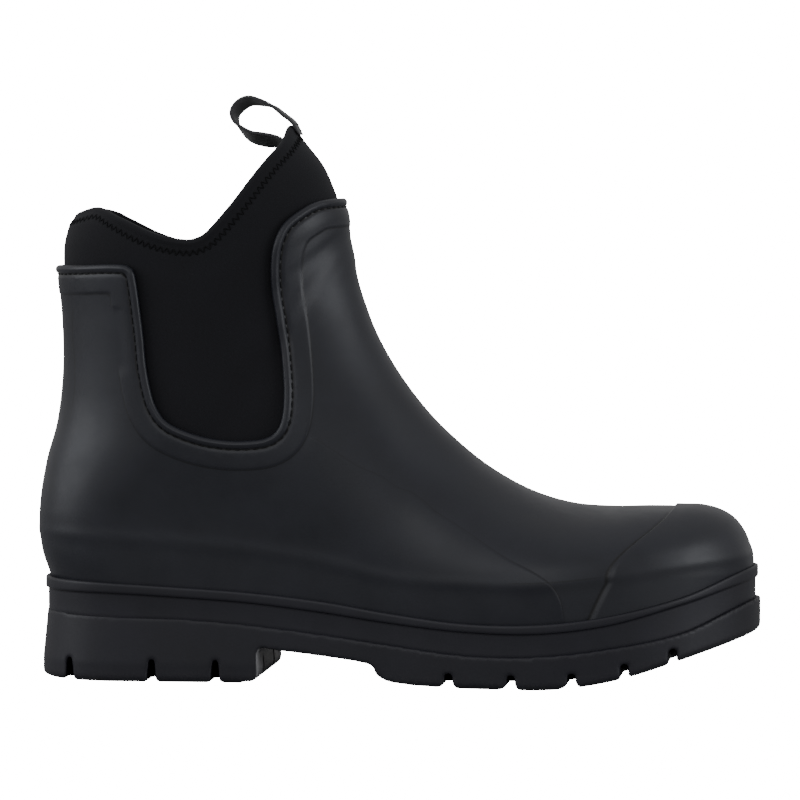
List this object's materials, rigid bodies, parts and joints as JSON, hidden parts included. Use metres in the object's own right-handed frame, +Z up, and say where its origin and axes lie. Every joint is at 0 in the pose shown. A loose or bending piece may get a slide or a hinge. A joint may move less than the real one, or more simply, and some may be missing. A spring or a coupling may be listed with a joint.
{
  "type": "rubber ankle boot",
  "caption": "Right ankle boot: moulded rubber shell with U-shaped side cut-outs over a stretch collar sleeve, pull loop and lugged sole with a low heel.",
  "frame": {"origin": "centre of the boot's box in plan, on the ground under the sole", "axes": "+X from heel to toe, +Y to the inner side of the foot, +Z up"},
  "size_m": [0.2834, 0.0982, 0.2271],
  "materials": {
    "shell_rubber": "satin moulded rubber, soft broad highlights",
    "sole_rubber": "matte moulded rubber",
    "stretch_cloth": "deep matte knitted cloth on foam",
    "insole_cloth": "matte cloth over foam",
    "webbing": "fine woven tape with a slight sheen"
  },
  "bodies": {
    "root": {"outsole": "sole_rubber", "midsole": "sole_rubber", "shell": "shell_rubber", "stretch_sleeve": "stretch_cloth", "insole": "insole_cloth", "pull_loop": "webbing"}
  },
  "joints": []
}
